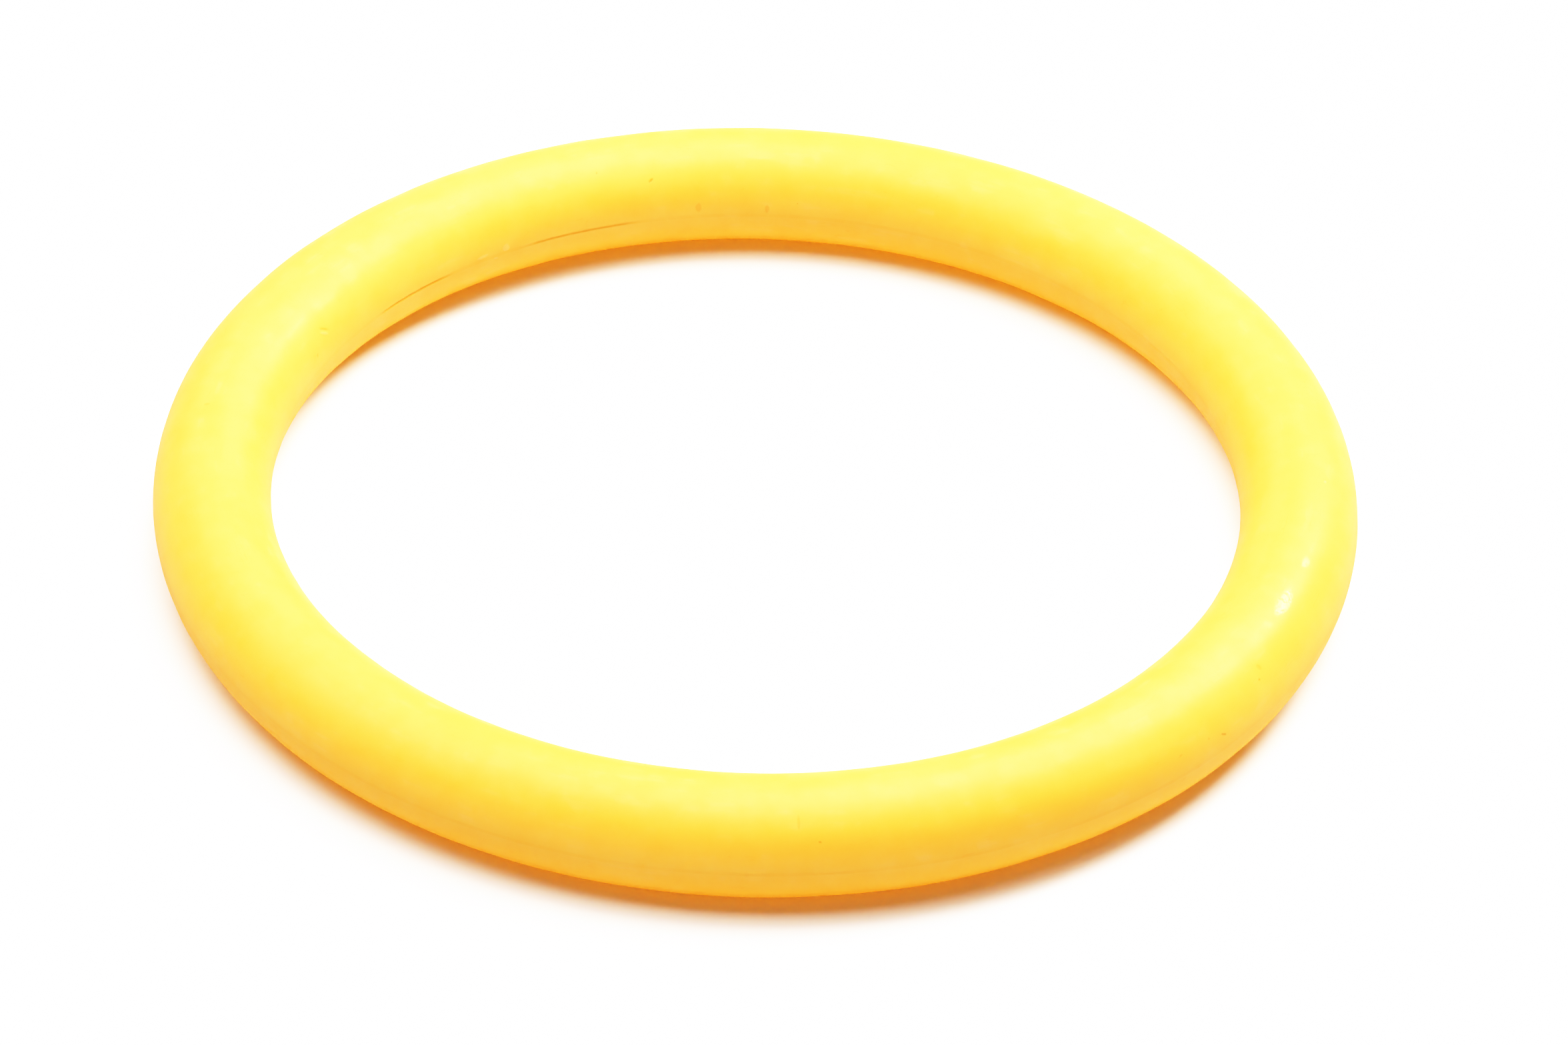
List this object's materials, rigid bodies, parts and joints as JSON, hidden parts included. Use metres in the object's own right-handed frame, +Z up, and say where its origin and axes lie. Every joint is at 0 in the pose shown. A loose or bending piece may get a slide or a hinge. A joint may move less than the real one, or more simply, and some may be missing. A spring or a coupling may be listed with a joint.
{
  "type": "juggling ring",
  "caption": "Hollow round-section plastic ring, welded from two tongue-and-groove half shells, for juggling and ring toss.",
  "frame": {"origin": "centre of the ring, on the surface that it rests on", "axes": "+Z up along the ring's axis, through the opening; +X and +Y lie in the plane of the ring"},
  "size_m": [0.24, 0.24, 0.0234],
  "materials": {
    "shell_plastic": "satin moulded lemon-yellow plastic, slightly translucent",
    "weld_plastic": "the same plastic where it melted and was scraped flush, slightly darker"
  },
  "bodies": {
    "root": {"upper_shell": "shell_plastic", "lower_shell": "shell_plastic", "outer_weld_bead": "weld_plastic", "inner_weld_bead": "weld_plastic"}
  },
  "joints": []
}
